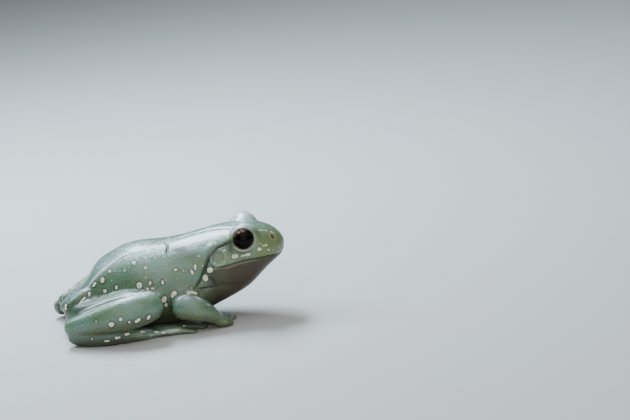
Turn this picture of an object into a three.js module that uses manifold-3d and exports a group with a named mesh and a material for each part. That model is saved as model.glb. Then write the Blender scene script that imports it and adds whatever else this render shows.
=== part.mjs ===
// A Mexican leaf frog at rest, life size, about 83 mm from snout to vent.
// Millimetres, +Z up. The frog faces -Y, its left side is +X, and it rests on z = 0.
// The body is one loft, parted at the neck and the mouth; limbs and digits are lofts of their own,
// each trimmed back by GAP where it meets a piece that was made before it.
import * as THREE from "three";
import { LoftGeometry } from "three/addons/geometries/LoftGeometry.js";
import { mergeVertices } from "three/addons/utils/BufferGeometryUtils.js";
import Module from "manifold-3d";

const wasm = await Module();
wasm.setup();

// ---- Driving dimensions ----

const GAP = 0.3; // between neighbouring pieces
const MIDDLE = 29.3; // y = MIDDLE - f, where f is the distance ahead of the hips
const REACH = 200; // size of the cutting tools, larger than the frog

const BODY_SIDES = 22;
const RINGS_PER_STATION = 1.2;
const BALL_FACETS = { sides: 12, rings: 9 };
// Facets of a limb and a digit: sides, rings to a station, and where the rings of its round ends
// lie, in degrees.
const LIMB_FACETS = { sides: 10, rings: 1.4, ends: [30, 62] };
const DIGIT_FACETS = { sides: 6, rings: 1.25, ends: [42] };

// How the left limbs lie beside where the right ones are: the arm and leg are drawn back, the heel
// is also nearer the body and lower, and the fingers turn further in. The leg goes inward behind
// place heel and down behind place shank, both growing over a run of ease.
const LEFT_ARM = { back: 7.5, turn: -18 };
const LEFT_LEG = { back: 6, inward: 3, down: 2.6, heel: 9, shank: 16, ease: 14 };

// Body stations from vent to snout: place f, back line, belly line, half width, height of the
// widest point, and squareness, where 2 is an ellipse.
const BODY = [
  { f: -10.2, back: 9.9, belly: 8.3, half: 2.0, widest: 9.1, square: 2.0 },
  { f: -8.6, back: 11.3, belly: 7.0, half: 5.2, widest: 9.5, square: 2.1 },
  { f: -5.0, back: 13.6, belly: 5.8, half: 7.8, widest: 10.2, square: 2.3 },
  { f: -0.4, back: 17.2, belly: 4.8, half: 9.6, widest: 11.2, square: 2.4 },
  { f: 3.2, back: 22.9, belly: 3.6, half: 10.9, widest: 12.4, square: 2.4 },
  { f: 7.0, back: 26.1, belly: 2.4, half: 12.4, widest: 13.4, square: 2.4 },
  { f: 11.4, back: 27.9, belly: 1.4, half: 14.4, widest: 13.8, square: 2.3 },
  { f: 17.0, back: 30.3, belly: 0.3, half: 17.0, widest: 14.0, square: 2.2 },
  { f: 24.0, back: 30.3, belly: -0.3, half: 18.6, widest: 14.0, square: 2.2 },
  { f: 31.0, back: 30.2, belly: -0.2, half: 18.0, widest: 14.6, square: 2.2 },
  { f: 38.0, back: 31.1, belly: 1.2, half: 16.2, widest: 16.0, square: 2.2 },
  { f: 44.0, back: 32.3, belly: 4.0, half: 14.8, widest: 18.4, square: 2.3 },
  { f: 50.0, back: 33.2, belly: 6.5, half: 14.3, widest: 21.0, square: 2.4 },
  { f: 55.0, back: 33.4, belly: 8.7, half: 13.3, widest: 22.0, square: 2.5 },
  { f: 60.0, back: 33.2, belly: 11.5, half: 12.1, widest: 22.6, square: 2.7 },
  { f: 64.4, back: 32.7, belly: 16.0, half: 10.7, widest: 23.0, square: 2.7 },
  { f: 68.2, back: 31.4, belly: 19.0, half: 8.7, widest: 23.4, square: 2.5 },
  { f: 70.8, back: 29.4, belly: 20.7, half: 6.5, widest: 23.8, square: 2.4 },
  { f: 72.3, back: 27.5, belly: 21.6, half: 4.3, widest: 24.2, square: 2.2 },
  { f: 73.0, back: 26.0, belly: 22.6, half: 1.9, widest: 24.3, square: 2.0 },
];

const NECK = [[41.0, -5], [43.4, 14], [47.4, 38]]; // side view of the neck cut, f and z
const MOUTH = [[38.0, 20.4], [47.9, 20.8], [54.8, 21.6], [60.0, 22.1], [65.2, 22.4], [76.0, 21.4]];

const EYE = { x: 9.7, f: 58.8, z: 30.1, radius: 4.6 };
const EYE_BULGE = { x: 8.3, f: 59.3, z: 29.7, across: 5.6, along: 5.1, up: 5.7 };
const EAR = { x: 12.5, f: 48.9, z: 24.8, radius: 2.9, reach: 10 };

// Limb stations from root to tip: outward x, place f, height z, half width, half height.
const LIMBS = {
  upper_arm: [
    [9.5, 40.5, 12.8, 4.0, 4.0],
    [14.6, 37.6, 11.9, 4.1, 4.2],
    [18.8, 34.8, 10.4, 4.0, 4.2],
  ],
  forearm: [
    [19.8, 34.9, 9.4, 4.2, 4.6],
    [20.2, 39.3, 8.7, 4.6, 4.7],
    [19.6, 42.9, 6.8, 3.7, 3.6],
    [18.4, 46.3, 4.0, 2.3, 2.1],
  ],
  hand: [
    [18.1, 47.0, 2.8, 2.3, 2.1],
    [16.7, 48.4, 1.8, 3.0, 1.8],
    [15.2, 49.1, 1.2, 3.2, 1.4],
  ],
  thigh: [
    [7.5, -4.4, 8.6, 4.6, 4.6],
    [12.6, 3.4, 9.3, 5.4, 5.0],
    [17.6, 13.4, 11.9, 5.4, 5.2],
    [21.0, 21.8, 12.6, 4.4, 4.1],
  ],
  shank: [
    [24.4, 23.4, 11.9, 4.3, 5.0],
    [26.2, 17.0, 11.3, 5.2, 6.2],
    [26.6, 9.0, 10.2, 5.2, 5.7],
    [24.8, 1.0, 8.5, 4.3, 4.7],
    [22.4, -5.0, 6.9, 3.3, 3.6],
  ],
  tarsus: [
    [22.6, -4.2, 4.0, 3.2, 3.6],
    [25.0, 3.0, 2.9, 3.2, 3.1],
    [25.4, 10.2, 2.9, 2.9, 3.0],
  ],
  foot: [
    [25.0, 11.4, 2.7, 2.9, 2.9],
    [23.0, 16.0, 2.4, 3.8, 2.5],
    [20.6, 20.6, 1.7, 4.3, 1.8],
  ],
};

// The left thigh stands a little higher behind the rump than the right one.
const LEFT_THIGH = [
  [9.8, -6.0, 8.0, 4.6, 4.7],
  [13.5, 1.0, 11.2, 5.2, 5.1],
  [17.6, 9.5, 12.9, 5.4, 5.2],
  [21.0, 15.8, 12.6, 4.4, 4.1],
];

// Digits, inner one first: root x and f, turn outward from straight ahead in degrees, length to the
// middle of the disc, and disc half width.
const FINGERS = [
  { x: 15.0, f: 47.6, turn: -140, length: 7.5, disc: 1.6 },
  { x: 14.4, f: 48.5, turn: -121, length: 9.0, disc: 1.9 },
  { x: 14.4, f: 49.4, turn: -102, length: 10.6, disc: 2.1 },
  { x: 15.2, f: 50.2, turn: -83, length: 8.6, disc: 2.0 },
];
const TOES = [
  { x: 17.8, f: 17.4, turn: -36, length: 8.5, disc: 1.3 },
  { x: 17.6, f: 20.2, turn: -28, length: 12.5, disc: 1.5 },
  { x: 18.6, f: 22.0, turn: -21, length: 16.5, disc: 1.7 },
  { x: 20.2, f: 22.6, turn: -14, length: 19.5, disc: 1.9 },
  { x: 22.2, f: 21.8, turn: -5, length: 16.0, disc: 1.7 },
];
// Half sizes of the shaft, its neck and the disc, heights of the shaft's root, arch and neck and of
// the disc, and where the arch, neck and disc lie: a share of the length, and disc half widths.
const DIGIT = {
  girth: 1.15,
  neck: 0.9,
  discUp: 0.75,
  heights: { root: 1.35, arch: 1.55, neck: 1.05, disc: 0.55 },
  archAt: 0.45,
  neckBefore: 1.9,
  discBefore: 0.5,
  end: 0.95,
};

const COLOURS = {
  skin: 0x6f9c84,
  throat: 0x8f8170,
  ear: 0x84a085,
  eye: 0x120d0b,
};

// ---- Helpers ----

const UP = new THREE.Vector3(0, 0, 1);

function point(x, f, z) {
  return new THREE.Vector3(x, MIDDLE - f, z);
}

// A closed outline round a centre: a superellipse with its own height above and below.
function ring({ centre, side, lift, half, above, below, square, sides }) {
  return Array.from({ length: sides }, (_, i) => {
    const angle = (2 * Math.PI * (i + 0.5)) / sides;
    const across = Math.cos(angle);
    const up = Math.sin(angle);
    const bend = (value) => Math.sign(value) * Math.abs(value) ** (2 / square);
    return centre
      .clone()
      .addScaledVector(side, half * bend(across))
      .addScaledVector(lift, (up > 0 ? above : below) * bend(up));
  });
}

function toSolid(geometry) {
  const bare = new THREE.BufferGeometry();
  bare.setAttribute("position", geometry.attributes.position);
  bare.setIndex(geometry.index);
  const merged = mergeVertices(bare);
  return new wasm.Manifold(
    new wasm.Mesh({
      numProp: 3,
      vertProperties: merged.attributes.position.array,
      triVerts: new Uint32Array(merged.index.array),
    }),
  );
}

function toMesh(name, solid, colour, roughness = 0.4) {
  const { vertProperties, triVerts } = solid.getMesh();
  const geometry = new THREE.BufferGeometry();
  geometry.setAttribute("position", new THREE.BufferAttribute(vertProperties, 3));
  geometry.setIndex(new THREE.BufferAttribute(triVerts, 1));
  geometry.computeVertexNormals();
  const material = new THREE.MeshStandardMaterial({ color: colour, roughness, metalness: 0 });
  const mesh = new THREE.Mesh(geometry, material);
  mesh.name = name;
  return mesh;
}

function largest(solid) {
  return solid.decompose().reduce((a, b) => (a.volume() > b.volume() ? a : b));
}

const loft = (sections) => toSolid(new LoftGeometry(sections, { capStart: true, capEnd: true }));

// ---- Body ----

function bodyLoft(grow = 0) {
  const lines = new THREE.CatmullRomCurve3(
    BODY.map((s) => new THREE.Vector3(s.f, s.back, s.belly)),
  );
  const widths = new THREE.CatmullRomCurve3(
    BODY.map((s) => new THREE.Vector3(s.half, s.widest, s.square)),
  );
  const count = Math.round((BODY.length - 1) * RINGS_PER_STATION);
  const sections = Array.from({ length: count + 1 }, (_, i) => {
    const { x: f, y: back, z: belly } = lines.getPoint(i / count);
    const { x: half, y: widest, z: square } = widths.getPoint(i / count);
    return ring({
      centre: point(0, f, widest),
      side: new THREE.Vector3(1, 0, 0),
      lift: UP,
      half: half + grow,
      above: back - widest + grow,
      below: widest - belly + grow,
      square,
      sides: BODY_SIDES,
    });
  });
  return loft(sections);
}

// A tool with this outline in side view, f and z, running right across the frog.
function sideTool(outline) {
  const shape = new THREE.Shape(outline.map(([f, z]) => new THREE.Vector2(f, z)));
  const geometry = new THREE.ExtrudeGeometry(shape, { depth: REACH, bevelEnabled: false });
  const place = new THREE.Matrix4().makeBasis(
    new THREE.Vector3(0, -1, 0),
    new THREE.Vector3(0, 0, 1),
    new THREE.Vector3(-1, 0, 0),
  );
  return toSolid(geometry.applyMatrix4(place.setPosition(REACH / 2, MIDDLE, 0)));
}

function ball(x, f, z, across, along, up) {
  const geometry = new THREE.SphereGeometry(1, BALL_FACETS.sides, BALL_FACETS.rings);
  geometry.scale(across, along, up);
  return toSolid(geometry.translate(x, MIDDLE - f, z));
}

// A drum lying on its side, from the middle of the head out past its cheek.
function earTool(side, radius, from) {
  const geometry = new THREE.CylinderGeometry(radius, radius, EAR.reach, BALL_FACETS.sides);
  geometry.rotateZ(Math.PI / 2);
  return toSolid(geometry.translate(side * (from + EAR.reach / 2), MIDDLE - EAR.f, EAR.z));
}

function mouthLine(shift) {
  const line = new THREE.SplineCurve(MOUTH.map(([f, z]) => new THREE.Vector2(f, z + shift)));
  return line.getPoints(MOUTH.length * 2).map((p) => [p.x, p.y]);
}

// The trunk, the head above the mouth and the lower jaw with the throat.
function makeBody() {
  const whole = bodyLoft();
  const neck = (shift) => NECK.map(([f, z]) => [f + shift, z]);
  const ahead = sideTool([...neck(GAP / 2), [REACH, REACH], [REACH, -REACH]]);
  const behind = sideTool([...neck(-GAP / 2), [-REACH, REACH], [-REACH, -REACH]].reverse());
  const front = whole.intersect(ahead);
  const over = sideTool([...mouthLine(GAP / 2), [REACH, REACH], [-REACH, REACH]]);
  const under = sideTool([...mouthLine(-GAP / 2), [REACH, -REACH], [-REACH, -REACH]].reverse());

  let head = front.intersect(over);
  for (const side of [-1, 1]) {
    const { x, f, z, across, along, up } = EYE_BULGE;
    head = head.add(ball(side * x, f, z, across, along, up));
  }
  const pieces = { trunk: whole.intersect(behind), lower_jaw: front.intersect(under) };
  for (const [letter, side] of [["r", -1], ["l", 1]]) {
    const r = EYE.radius;
    const socket = r + GAP;
    pieces["eye_" + letter] = ball(side * EYE.x, EYE.f, EYE.z, r, r, r);
    pieces["ear_drum_" + letter] = largest(head.intersect(earTool(side, EAR.radius, EAR.x)));
    head = head.subtract(earTool(side, EAR.radius + GAP, EAR.x - GAP));
    head = head.subtract(ball(side * EYE.x, EYE.f, EYE.z, socket, socket, socket));
  }
  pieces.head = largest(head);
  return pieces;
}

// ---- Limbs and digits ----

// A tapering limb with round ends, along a curve through its stations.
function limbLoft(stations, side, { sides, rings, ends }, grow = 0) {
  const path = new THREE.CatmullRomCurve3(stations.map(([x, f, z]) => point(side * x, f, z)));
  const sizes = new THREE.CatmullRomCurve3(
    stations.map(([, , , half, high]) => new THREE.Vector3(half, high, 0)),
  );
  const section = (t, along, share) => {
    const tangent = path.getTangent(t);
    const across = UP.clone().cross(tangent).normalize();
    const lift = tangent.clone().cross(across);
    const size = sizes.getPoint(t);
    const reach = ((size.x + size.y) / 2 + grow) * along;
    return ring({
      centre: path.getPoint(t).addScaledVector(tangent, reach),
      side: across,
      lift,
      half: (size.x + grow) * share,
      above: (size.y + grow) * share,
      below: (size.y + grow) * share,
      square: 2,
      sides,
    });
  };
  const round = ends.map(THREE.MathUtils.degToRad);
  const start = round.map((a) => section(0, -Math.cos(a), Math.sin(a)));
  const end = round.map((a) => section(1, Math.cos(a), Math.sin(a))).reverse();
  const count = Math.round((stations.length - 1) * rings);
  const middle = Array.from({ length: count + 1 }, (_, i) => section(i / count, 0, 1));
  return loft([...start, ...middle, ...end]);
}

// Stations of a finger or toe that lies on the floor: a slightly arched shaft and a flat disc.
function digitStations({ x, f, turn, length, disc }) {
  const heading = THREE.MathUtils.degToRad(turn);
  const { girth, neck, discUp, heights, archAt, neckBefore, discBefore, end } = DIGIT;
  const along = (share, z, half, high) => [
    x + length * share * Math.sin(heading),
    f + length * share * Math.cos(heading),
    z,
    half,
    high,
  ];
  return [
    along(0, heights.root, girth, girth),
    along(archAt, heights.arch, girth, girth),
    along(1 - (neckBefore * disc) / length, heights.neck, neck, neck),
    along(1 - (discBefore * disc) / length, heights.disc, disc, discUp),
    along(1, heights.disc, disc * end, discUp * end),
  ];
}

// The left limbs' lie. The arm's grows from nothing at the shoulder.
function laid(name, stations) {
  if (name === "thigh") return LEFT_THIGH;
  const leg = /shank|tarsus|foot|toe/.test(name);
  const rooted = name === "upper_arm";
  return stations.map(([x, f, z, ...size], i) => {
    const share = rooted ? i / (stations.length - 1) : 1;
    if (!leg) return [x, f - LEFT_ARM.back * share, z, ...size];
    const behind = (place) => THREE.MathUtils.clamp((place - f) / LEFT_LEG.ease, 0, 1);
    const inward = LEFT_LEG.inward * behind(LEFT_LEG.heel);
    const down = name === "shank" ? LEFT_LEG.down * behind(LEFT_LEG.shank) : 0;
    return [x - inward, f - LEFT_LEG.back, z - down, ...size];
  });
}

// Everything that one side carries, in the order in which each piece is trimmed by the earlier ones.
function sidePieces(letter, side) {
  const left = side > 0;
  const limb = (name) => [name, LIMBS[name]];
  const legs = ["thigh", "shank", "tarsus", "foot"].map(limb);
  const toes = TOES.map((toe, i) => ["toe_" + (i + 1), digitStations(toe)]);
  const arms = ["upper_arm", "forearm", "hand"].map(limb);
  const turn = left ? LEFT_ARM.turn : 0;
  const fingers = FINGERS.map((finger, i) => [
    "finger_" + (i + 1),
    digitStations({ ...finger, turn: finger.turn + turn }),
  ]);
  return [...legs, ...toes, ...arms, ...fingers].map(([name, right]) => {
    const stations = left ? laid(name, right) : right;
    const facets = /toe|finger/.test(name) ? DIGIT_FACETS : LIMB_FACETS;
    return {
      name: name + "_" + letter,
      solid: limbLoft(stations, side, facets),
      grown: limbLoft(stations, side, facets, GAP),
    };
  });
}

// ---- Assembly ----

const frog = new THREE.Group();
const underFloor = sideTool([[-REACH, -REACH], [REACH, -REACH], [REACH, 0], [-REACH, 0]]);
const wholeBody = bodyLoft(GAP);

const body = makeBody();
const bodyColours = { lower_jaw: COLOURS.throat, head: COLOURS.skin, trunk: COLOURS.skin };
for (const [name, solid] of Object.entries(body)) {
  const colour = bodyColours[name] ?? (name.startsWith("eye") ? COLOURS.eye : COLOURS.ear);
  const roughness = name.startsWith("eye") ? 0.08 : 0.4;
  frog.add(toMesh(name, largest(solid.subtract(underFloor)), colour, roughness));
}

for (const [letter, side] of [["r", -1], ["l", 1]]) {
  const made = sidePieces(letter, side);
  made.forEach((piece, i) => {
    let solid = piece.solid.subtract(wholeBody).subtract(underFloor);
    made.slice(0, i).forEach((earlier) => {
      solid = solid.subtract(earlier.grown);
    });
    frog.add(toMesh(piece.name, largest(solid), COLOURS.skin));
  });
}

// The middle of the frog's outline stands over the origin.
const middle = new THREE.Box3().setFromObject(frog).getCenter(new THREE.Vector3());
frog.position.set(-middle.x, -middle.y, 0);

export default frog;
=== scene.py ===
import math
import bpy
import numpy as np
from mathutils import Matrix, Vector
from mathutils.bvhtree import BVHTree


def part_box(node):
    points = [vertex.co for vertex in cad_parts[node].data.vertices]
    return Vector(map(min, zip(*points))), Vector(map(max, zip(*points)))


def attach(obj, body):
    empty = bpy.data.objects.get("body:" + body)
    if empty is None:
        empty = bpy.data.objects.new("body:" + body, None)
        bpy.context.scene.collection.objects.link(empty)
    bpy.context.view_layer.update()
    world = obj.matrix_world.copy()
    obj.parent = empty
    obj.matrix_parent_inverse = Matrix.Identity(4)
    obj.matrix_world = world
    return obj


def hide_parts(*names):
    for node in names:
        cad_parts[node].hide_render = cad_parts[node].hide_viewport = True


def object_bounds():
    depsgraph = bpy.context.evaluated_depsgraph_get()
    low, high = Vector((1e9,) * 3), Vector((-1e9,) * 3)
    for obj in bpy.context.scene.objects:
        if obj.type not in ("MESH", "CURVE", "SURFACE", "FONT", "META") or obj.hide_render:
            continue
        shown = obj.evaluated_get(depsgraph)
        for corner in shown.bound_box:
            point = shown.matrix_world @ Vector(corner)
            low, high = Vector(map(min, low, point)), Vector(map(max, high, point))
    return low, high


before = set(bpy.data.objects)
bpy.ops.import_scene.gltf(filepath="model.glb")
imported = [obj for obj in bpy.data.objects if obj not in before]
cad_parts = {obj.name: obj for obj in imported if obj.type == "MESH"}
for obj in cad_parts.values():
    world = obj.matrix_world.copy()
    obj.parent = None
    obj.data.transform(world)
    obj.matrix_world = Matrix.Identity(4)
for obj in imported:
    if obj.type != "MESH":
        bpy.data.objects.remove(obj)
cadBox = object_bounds()
mm = 0.001
snoutToHips = 73
hips = cadBox[0].y + snoutToHips * mm  # their place along Y; "ahead" is a length from them towards the snout


def place(x, ahead, z):  # millimetres from the middle, ahead of the hips and up, as a point in metres
    return Vector((x * mm, hips - ahead * mm, z * mm))


def select(*pieces):
    bpy.ops.object.select_all(action="DESELECT")
    for piece in pieces:
        piece.select_set(True)
    bpy.context.view_layer.objects.active = pieces[-1]


def addModifier(piece, kind, **settings):
    select(piece)
    modifier = piece.modifiers.new(kind.lower(), kind)
    for name, value in settings.items():
        setattr(modifier, name, value)
    bpy.ops.object.modifier_apply(modifier=modifier.name)


def settle(piece):  # leaves the piece's place in its mesh, with its object at the origin
    select(piece)
    bpy.ops.object.transform_apply(location=True, rotation=True, scale=True)


# camera, floor and light
view = dict(elevation=14, roll=6, away=1256, lens=200, sensor=36, nearest=20,
            startX=-24, alongRight=80.88, alongUp=48.8)
studio = dict(floor=40, paper=(0.585, 0.575, 0.57), fleck=0.015, fleckScale=140, paperRough=0.75,
              world=0.16, worldColour=(0.80, 0.86, 0.92), litSpot=(0, 28, 12))
lamps = [  # name, x, ahead, z, size across the frog and along it, power, colour
    ("behindAbove", 275, -52, 390, 240, 115, 4.4, (0.70, 0.88, 1.0)),
    ("behind", 160, -300, 350, 130, 200, 1.5, (0.70, 0.88, 1.0)),
    ("softAbove", -120, 60, 620, 760, 760, 2.0, (0.92, 0.97, 1.0)),
    ("cameraSide", -560, 90, 330, 620, 760, 1.8, (1.0, 1.0, 0.88)),
]


def makeCamera():
    tilt, roll = math.radians(view["elevation"]), math.radians(view["roll"])
    forward, top = Vector((0, -1, 0)), Vector((math.sin(tilt), 0, math.cos(tilt)))
    right = math.cos(roll) * forward - math.sin(roll) * top
    up = math.sin(roll) * forward + math.cos(roll) * top
    back = right.cross(up)
    aim = place(view["startX"], 0, 0) + (view["alongRight"] * right + view["alongUp"] * up) * mm
    bpy.ops.object.camera_add()
    camera = bpy.context.object
    camera.data.lens, camera.data.sensor_width = view["lens"], view["sensor"]
    camera.data.sensor_fit = "HORIZONTAL"
    camera.data.clip_start = view["nearest"] * mm
    camera.matrix_world = Matrix.LocRotScale(
        aim + back * view["away"] * mm, Matrix((right, up, back)).transposed(), None)
    bpy.context.scene.camera = camera


def makeStudio():
    bpy.ops.mesh.primitive_plane_add(size=studio["floor"])
    floor = bpy.context.object
    floor.name = "floor"
    floor.data.materials.append(paperFinish())
    for name, x, ahead, z, width, depth, power, colour in lamps:
        bpy.ops.object.light_add(type="AREA", location=place(x, ahead, z))
        lamp = bpy.context.object
        lamp.name = name
        lamp.data.shape = "RECTANGLE"
        lamp.data.size, lamp.data.size_y = width * mm, depth * mm
        lamp.data.energy, lamp.data.color = power, colour
        back = (lamp.location - place(*studio["litSpot"])).normalized()
        along = back.cross(Vector((1, 0, 0))).normalized()
        lamp.matrix_world = Matrix.LocRotScale(
            lamp.location, Matrix((along.cross(back), along, back)).transposed(), None)
    world = bpy.data.worlds.new("paleRoom")
    bpy.context.scene.world = world
    world.use_nodes = True
    sky = world.node_tree.nodes["Background"]
    sky.inputs["Color"].default_value = (*studio["worldColour"], 1)
    sky.inputs["Strength"].default_value = studio["world"]


# materials
def newMaterial(name):
    material = bpy.data.materials.new(name)
    material.use_nodes = True
    return material, material.node_tree.nodes["Principled BSDF"]


def addNode(material, kind, inputs=(), **settings):
    node = material.node_tree.nodes.new(kind)
    for name, value in settings.items():
        setattr(node, name, value)
    for socket, value in inputs:
        if isinstance(value, bpy.types.NodeSocket):
            material.node_tree.links.new(value, node.inputs[socket])
        else:
            node.inputs[socket].default_value = value
    return node


def noise(material, where, scale, detail=3.0, rough=0.55):
    return addNode(material, "ShaderNodeTexNoise", [
        ("Vector", where), ("Scale", scale), ("Detail", detail), ("Roughness", rough)]).outputs["Fac"]


def ramp(material, value, low, high, start=0.0, end=1.0):  # a smooth step of a value between low and high
    return addNode(material, "ShaderNodeMapRange", [
        ("Value", value), ("From Min", low), ("From Max", high), ("To Min", start), ("To Max", end)],
        interpolation_type="SMOOTHSTEP").outputs["Result"]


def math2(material, operation, first, second=0.0):
    return addNode(material, "ShaderNodeMath", [(0, first), (1, second)], operation=operation).outputs[0]


def blendColours(material, share, first, second):
    node = addNode(material, "ShaderNodeMix", data_type="RGBA")
    for socket, value in ((0, share), (6, first), (7, second)):  # 6 and 7 are the node's two colours
        if isinstance(value, bpy.types.NodeSocket):
            material.node_tree.links.new(value, node.inputs[socket])
        else:
            node.inputs[socket].default_value = value if socket == 0 else (*value, 1)
    return node.outputs[2]


def painted(material, name):
    return addNode(material, "ShaderNodeAttribute", attribute_name=name).outputs["Fac"]


def paperFinish():
    material, shader = newMaterial("studioPaper")
    where = addNode(material, "ShaderNodeTexCoord").outputs["Object"]
    fleck = noise(material, where, studio["fleckScale"], 4)
    low, high = (tuple(c * k for c in studio["paper"]) for k in (1 - studio["fleck"], 1 + studio["fleck"]))
    material.node_tree.links.new(blendColours(material, fleck, low, high), shader.inputs["Base Color"])
    shader.inputs["Roughness"].default_value = studio["paperRough"]
    return material


# several of these colours are painted light: the dark low, olive, throat and shade colours, the crease
# colour and the nostril colour are painted shade (the olive is also the ear drum's own), the pale bluish
# colour of the waxy coat carries painted sheen, and the gleam colour is for painted highlights
skinColours = dict(
    green=(0.112, 0.202, 0.102), teal=(0.125, 0.238, 0.185), head=(0.168, 0.228, 0.082),
    low=(0.050, 0.088, 0.046), olive=(0.110, 0.125, 0.052), bloomAndSheen=(0.40, 0.56, 0.66),
    gleam=(0.84, 0.92, 0.98), throat=(0.046, 0.026, 0.008), throatGreen=(0.056, 0.056, 0.018),
    cream=(0.42, 0.38, 0.29), shade=(0.022, 0.030, 0.010), rosy=(0.84, 0.76, 0.70), tan=(0.34, 0.22, 0.10),
    spot=(0.95, 0.91, 0.70), spotTan=(0.62, 0.48, 0.34), spotRim=(0.014, 0.028, 0.012),
    creaseShade=(0.010, 0.014, 0.006), pale=(0.50, 0.52, 0.38), lip=(0.24, 0.16, 0.11), pit=(0.006, 0.005, 0.003))
skinLook = dict(broadScale=90, mottleScale=420, raggedScale=800, grainScale=2600, freckleScale=420,
                poreScale=1900, raggedEdge=0.75, dull=0.45, bump=0.65, bumpDepth=0.18, subsurface=0.10,
                subsurfaceDepth=1.2, coat=0.25, coatRough=0.10, specular=0.75)


def skinFinish():
    material, shader = newMaterial("moistFrogSkin")
    tone, look = skinColours, skinLook
    where = addNode(material, "ShaderNodeTexCoord").outputs["Object"]
    broad = noise(material, where, look["broadScale"], 2)
    mottle = noise(material, where, look["mottleScale"], 4, 0.6)
    ragged = noise(material, where, look["raggedScale"], 2, 0.5)
    grain = noise(material, where, look["grainScale"], 3, 0.6)
    mark = {name: painted(material, name) for name in skinMarks}

    def over(colour, share, name):
        return blendColours(material, share, colour, tone[name])

    def times(first, second):
        return math2(material, "MULTIPLY", first, second)

    # the greens, painted shade low down, and the skin's pale waxy coat with painted sheen, painted glints
    # and painted highlights on them
    colour = over(tone["green"], ramp(material, broad, 0.38, 0.64), "teal")
    colour = over(colour, times(mark["warm"], ramp(material, broad, 0.34, 0.62, 1.0, 0.66)), "head")
    darker = blendColours(material, 0.30, colour, tone["low"])
    colour = blendColours(material, ramp(material, mottle, 0.50, 0.74), colour, darker)
    # painted shade low on the body and under the limbs; the olive is painted shade under the outer sides and
    # by the chest, and the ear drum's own colour
    colour = over(colour, mark["low"], "low")
    colour = over(colour, mark["olive"], "olive")
    colour = over(colour, times(mark["bloomAndSheen"], ramp(material, mottle, 0.32, 0.66, 0.55, 1.0)), "bloomAndSheen")
    # painted glints: fine pale flecks on the grain of the skin
    colour = over(colour, times(ramp(material, grain, 0.56, 0.70, 0.0, 0.36), mark["stipple"]), "bloomAndSheen")
    # painted highlights along the crests and on the lid tops
    colour = over(colour, times(mark["gleam"], ramp(material, mottle, 0.30, 0.50, 0.5, 1.0)), "gleam")

    # freckles, the throat darkened as painted shade, and the plain marks, among them painted shade in
    # hollows and creases
    cells = addNode(material, "ShaderNodeTexVoronoi", [("Vector", where), ("Scale", look["freckleScale"])])
    chosen = addNode(material, "ShaderNodeSeparateColor", [("Color", cells.outputs["Color"])]).outputs["Red"]
    freckle = times(ramp(material, cells.outputs["Distance"], 0.16, 0.06),
                    ramp(material, chosen, 0.60, 0.66))
    colour = over(colour, times(freckle, mark["stipple"]), "spot")
    # painted shade: the throat's brownish skin is painted dark brown, greener further back, for the shadow
    # under the jaw
    throat = over(tone["throat"], ramp(material, mark["throatGreen"], 0.1, 1.0), "throatGreen")
    colour = blendColours(material, mark["throat"], colour, throat)
    colour = over(colour, mark["belly"], "cream")
    colour = over(colour, times(mark["rosy"], ramp(material, mottle, 0.38, 0.56, 0.2, 1.0)), "rosy")
    # shade and the crease marks are painted shade; lip, tan and pale are the skin's own colours
    for name in ("shade", "lip", "tan", "pale", "creaseShade"):
        colour = over(colour, mark[name], name)

    # the spots, with a ragged dark rim and a tan heart
    edge = math2(material, "ADD", mark["spot"],
                 times(math2(material, "SUBTRACT", ragged, 0.5), look["raggedEdge"]))
    colour = over(colour, times(ramp(material, edge, 0.95, 0.15, 0.0, 0.9), mark["spotRim"]), "spotRim")
    heart = blendColours(material, ramp(material, mottle, 0.50, 0.68), tone["spot"], tone["spotTan"])
    colour = blendColours(material, ramp(material, edge, 0.12, -0.14), colour, heart)
    colour = over(colour, ramp(material, edge, -0.42, -0.62, 0.0, 0.55), "spotTan")
    # painted shade inside the nostrils
    colour = over(colour, mark["pit"], "pit")

    links = material.node_tree.links
    links.new(colour, shader.inputs["Base Color"])
    dull = times(math2(material, "MAXIMUM", mark["throat"], mark["shade"]), look["dull"])
    rough = math2(material, "ADD", ramp(material, mottle, 0.3, 0.75, 0.20, 0.32), dull)
    links.new(rough, shader.inputs["Roughness"])
    pores = addNode(material, "ShaderNodeTexVoronoi", [("Vector", where), ("Scale", look["poreScale"])])
    relief = math2(material, "ADD", times(pores.outputs["Distance"], 0.6), grain)
    bump = addNode(material, "ShaderNodeBump", [
        ("Height", relief), ("Strength", look["bump"]), ("Distance", look["bumpDepth"] * mm)])
    links.new(bump.outputs["Normal"], shader.inputs["Normal"])
    shader.inputs["Subsurface Weight"].default_value = look["subsurface"]
    shader.inputs["Subsurface Scale"].default_value = look["subsurfaceDepth"] * mm
    shader.inputs["Coat Weight"].default_value = look["coat"]
    shader.inputs["Coat Roughness"].default_value = look["coatRough"]
    shader.inputs["Specular IOR Level"].default_value = look["specular"]
    return material


# the skin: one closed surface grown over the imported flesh, then shaped by strokes
skin = dict(weld=0.002, quadAngle=40, creaseAngle=48, rounds=2, puff=0.3, grain=0.35,
            seamShare=0.6, seamRounds=60, evenShare=0.5, evenRounds=4,
            fineReach=1.0, keepReach=1.2, flat=0.02, triangles=196000)
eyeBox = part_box("eye_r")
eyeMiddle = (eyeBox[0] + eyeBox[1]) / 2
eye = dict(x=-eyeMiddle.x / mm, ahead=(hips - eyeMiddle.y) / mm, z=eyeMiddle.z / mm,
           ball=(eyeBox[1].z - eyeBox[0].z) / 2 / mm, rounds=64)
lid = dict(shell=5.05, opening=2.5, across=4.2, tube=0.34, lean=8, blend=0.8)
fills = [  # loose flesh by the rump and the left heel: x, ahead, z, half width, length and height, and tilt
    (-8.0, -3.0, 13.2, 3.4, 7.0, 2.5, 30), (8.0, -3.0, 11.7, 3.4, 7.0, 2.5, 30),
    (15.5, -9.0, 7.2, 5.0, 3.2, 2.5, 0)]
web = dict(thick=0.9, z=0.75, reach=0.42, fromRoot=1.2, fromTip=1.4)
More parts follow.
